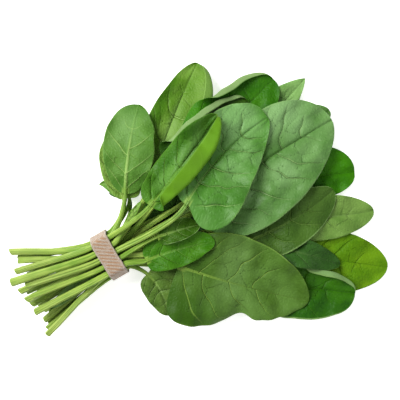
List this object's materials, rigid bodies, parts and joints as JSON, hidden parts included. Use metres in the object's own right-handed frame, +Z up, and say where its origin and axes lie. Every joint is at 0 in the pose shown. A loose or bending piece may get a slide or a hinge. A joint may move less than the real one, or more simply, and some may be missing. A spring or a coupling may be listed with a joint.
{
  "type": "bunch of spinach",
  "caption": "Bunch of fresh spinach lying down: oval green leaves on thin juicy stalks, held together near their cut ends by a short woven band.",
  "frame": {"origin": "bottom centre of the bounding box, on the surface that the bunch lies on", "axes": "+X along the bunch from the cut ends of the stalks to the leaf tips, +Z up"},
  "size_m": [0.2654, 0.2156, 0.0469],
  "materials": {
    "bright_leaf": "satin",
    "deep_leaf": "satin",
    "mid_leaf": "satin",
    "olive_leaf": "satin",
    "pale_leaf": "satin",
    "soft_leaf": "satin",
    "woven_band": "matte"
  },
  "bodies": {
    "root": {"leaf_thin_tip": "deep_leaf", "leaf_under_middle": "mid_leaf", "leaf_under_right": "mid_leaf", "leaf_far_right": "bright_leaf", "leaf_back_small": "mid_leaf", "leaf_pointed": "mid_leaf", "leaf_top_sliver": "soft_leaf", "leaf_right_dark": "deep_leaf", "leaf_right_tip": "soft_leaf", "leaf_cupped_right": "bright_leaf", "leaf_back_left": "mid_leaf", "leaf_boat": "bright_leaf", "leaf_tall_back": "bright_leaf", "leaf_low_left": "olive_leaf", "leaf_narrow_dark": "deep_leaf", "leaf_olive": "olive_leaf", "leaf_turned_back": "pale_leaf", "leaf_pale_back": "soft_leaf", "leaf_sliver": "mid_leaf", "leaf_main_right": "soft_leaf", "leaf_front_big": "mid_leaf", "leaf_small_bright": "bright_leaf", "leaf_small_olive": "olive_leaf", "leaf_main_left": "mid_leaf", "leaf_stump": "pale_leaf", "leaf_rolled": "bright_leaf", "tie_band": "woven_band"}
  },
  "joints": []
}
